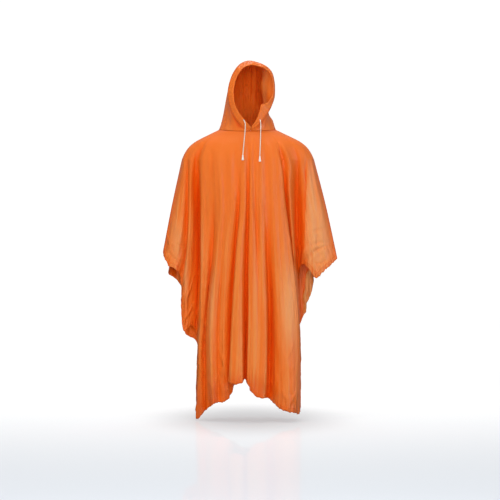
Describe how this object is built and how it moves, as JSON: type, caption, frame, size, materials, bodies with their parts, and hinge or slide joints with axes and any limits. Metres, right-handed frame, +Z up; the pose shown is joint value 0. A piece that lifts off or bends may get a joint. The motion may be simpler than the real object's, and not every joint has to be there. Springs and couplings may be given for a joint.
{
  "type": "hooded rain poncho",
  "caption": "Hooded rain poncho of vinyl film with a drawcord hood, hanging from the shoulders as worn.",
  "frame": {"origin": "middle of the neck, level with the shoulders, where the wearer's shoulders hold the poncho up", "axes": "+Z up, the front of the garment faces -Y, +X towards the right hand of someone looking at the front"},
  "size_m": [0.6806, 0.3839, 1.3964],
  "materials": {
    "vinyl_film": "soft sheen on thin orange vinyl film",
    "cord": "off-white round braided cord",
    "cord_tip": "moulded white plastic"
  },
  "bodies": {
    "root": {"front_panel": "vinyl_film", "back_panel": "vinyl_film", "hood_left": "vinyl_film", "hood_right": "vinyl_film", "hood_casing": "vinyl_film", "drawcord_left": "cord", "drawcord_right": "cord", "cord_tip_left": "cord_tip", "cord_tip_right": "cord_tip"}
  },
  "joints": []
}
